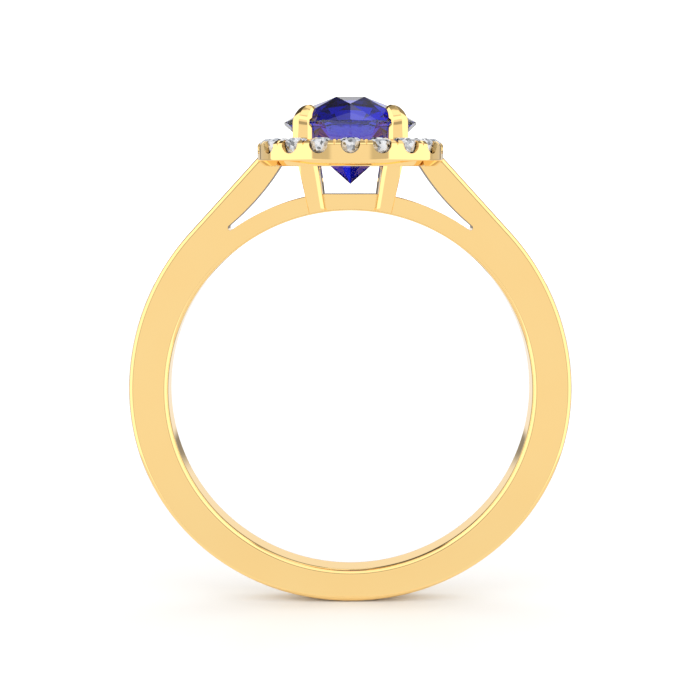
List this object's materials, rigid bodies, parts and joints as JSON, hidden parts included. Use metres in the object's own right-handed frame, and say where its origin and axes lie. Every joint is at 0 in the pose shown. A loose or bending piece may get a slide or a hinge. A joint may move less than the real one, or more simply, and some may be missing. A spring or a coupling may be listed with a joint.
{
  "type": "engagement ring",
  "caption": "Cathedral engagement ring: plain gold band, cushion halo of small white stones, four claws holding a round blue centre stone",
  "frame": {"origin": "centre of the finger hole, midway across the band's width", "axes": "+Y along the finger hole, front of the ring faces -Y; +Z from the finger hole to the centre stone; +X to the right seen from the front"},
  "size_m": [0.0206, 0.0084, 0.0235],
  "materials": {
    "yellow_gold": "polished yellow gold, mirror smooth",
    "blue_gem": "faceted violet-blue transparent gem, polished",
    "white_gem": "faceted colourless gem, polished"
  },
  "bodies": {
    "root": {"shank": "yellow_gold", "halo": "yellow_gold", "claw_front_right": "yellow_gold", "claw_front_left": "yellow_gold", "claw_back_left": "yellow_gold", "claw_back_right": "yellow_gold", "centre_stone": "blue_gem", "melee_01": "white_gem", "melee_02": "white_gem", "melee_03": "white_gem", "melee_04": "white_gem", "melee_05": "white_gem", "melee_06": "white_gem", "melee_07": "white_gem", "melee_08": "white_gem", "melee_09": "white_gem", "melee_10": "white_gem", "melee_11": "white_gem", "melee_12": "white_gem", "melee_13": "white_gem", "melee_14": "white_gem", "melee_15": "white_gem", "melee_16": "white_gem", "melee_17": "white_gem", "melee_18": "white_gem", "melee_19": "white_gem", "melee_20": "white_gem"}
  },
  "joints": []
}
